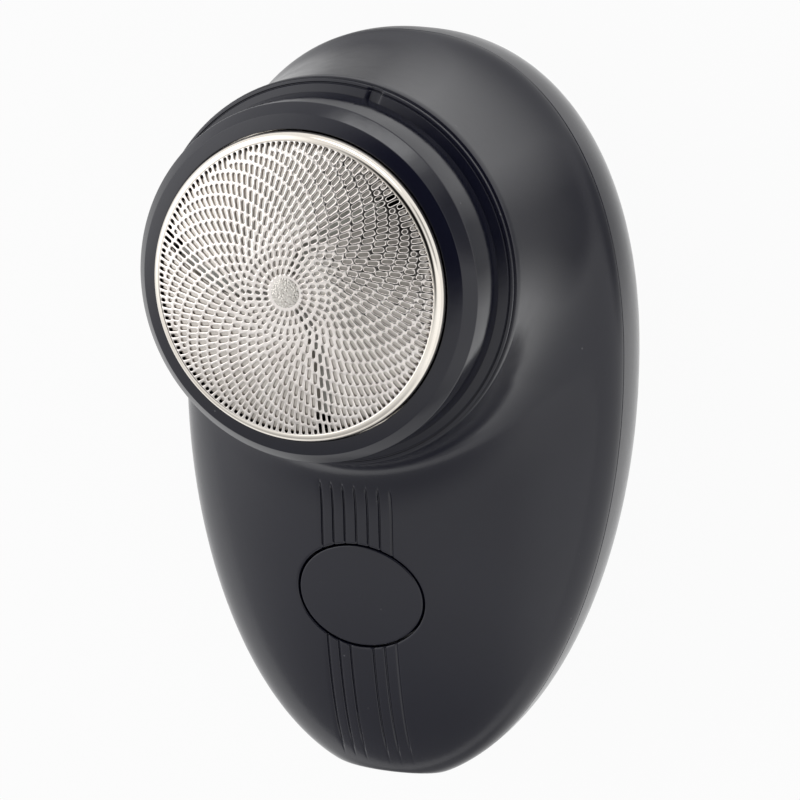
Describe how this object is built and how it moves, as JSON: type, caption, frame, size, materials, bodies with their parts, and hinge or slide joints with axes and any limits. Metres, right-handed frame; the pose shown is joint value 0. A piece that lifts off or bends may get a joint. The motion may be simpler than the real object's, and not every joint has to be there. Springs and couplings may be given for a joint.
{
  "type": "rotary electric shaver",
  "caption": "Palm-sized rotary shaver: egg-shaped two-shell casing, raised round head with perforated domed foil over a sprung turning cutter, oval power button.",
  "frame": {"origin": "middle of the bounding box in X and Y, on the resting flat of the rear shell", "axes": "+Z out of the shaving head along the motor shaft, +Y towards the broad end, X across the casing"},
  "size_m": [0.0466, 0.0754, 0.0472],
  "materials": {
    "casing_plastic": "satin",
    "ring_plastic": "satin",
    "foil_steel": "satin",
    "white_plastic": "matte",
    "blade_steel": "satin",
    "spring_steel": "satin",
    "motor_steel": "satin",
    "screw_steel": "satin",
    "copper_winding": "satin",
    "magnet_dark": "matte",
    "brass_contact": "satin",
    "inner_plastic": "matte",
    "black_plastic": "matte",
    "board_green": "satin",
    "battery_foil": "satin",
    "foam": "matte",
    "lead_red": "satin",
    "lead_black": "satin"
  },
  "bodies": {
    "housing": {"front_shell": "casing_plastic", "rear_shell": "casing_plastic", "neck_collar": "casing_plastic", "motor_can": "motor_steel", "motor_magnets": "magnet_dark", "motor_end_cap": "white_plastic", "motor_terminals": "brass_contact", "motor_screws": "screw_steel", "chamber_floor": "inner_plastic", "shell_screws": "screw_steel", "switch_body": "black_plastic", "circuit_board": "board_green", "board_chips": "black_plastic", "board_screws": "screw_steel", "charging_socket": "motor_steel", "socket_tongue": "black_plastic", "battery": "battery_foil", "battery_pad": "foam", "battery_leads": "lead_red", "motor_leads": "lead_black"},
    "head": {"head_ring": "ring_plastic", "foil": "foil_steel", "foil_retainer": "white_plastic"},
    "rotor": {"motor_shaft": "spring_steel", "motor_armature": "copper_winding", "drive_dog": "white_plastic", "cutter_spring": "spring_steel"},
    "cutter": {"cutter_blades": "blade_steel", "cutter_carrier": "white_plastic"},
    "button": {"power_button": "casing_plastic"},
    "plunger": {"switch_plunger": "white_plastic"}
  },
  "joints": [
    {"name": "head_pull", "type": "slide", "parent": "housing", "child": "head", "axis": [0, 0, 1], "range_m": [0, 0.018]},
    {"name": "rotor_spin", "type": "hinge", "parent": "housing", "child": "rotor", "pos_m": [0, 0.0168, 0.03], "axis": [0, 0, 1], "continuous": true},
    {"name": "cutter_float", "type": "slide", "parent": "rotor", "child": "cutter", "axis": [0, 0, -1], "range_m": [0, 0.0008], "stiffness_N_per_m": 400, "deforming": ["cutter_spring"]},
    {"name": "button_press", "type": "slide", "parent": "housing", "child": "button", "axis": [0, 0, -1], "range_m": [0, 0.0005], "stiffness_N_per_m": 1500},
    {"name": "plunger_press", "type": "slide", "parent": "housing", "child": "plunger", "axis": [0, 0, -1], "range_m": [0, 0.0005]}
  ],
  "couplings": [
    {"joint": "plunger_press", "follows": "button_press", "ratio": 1}
  ]
}
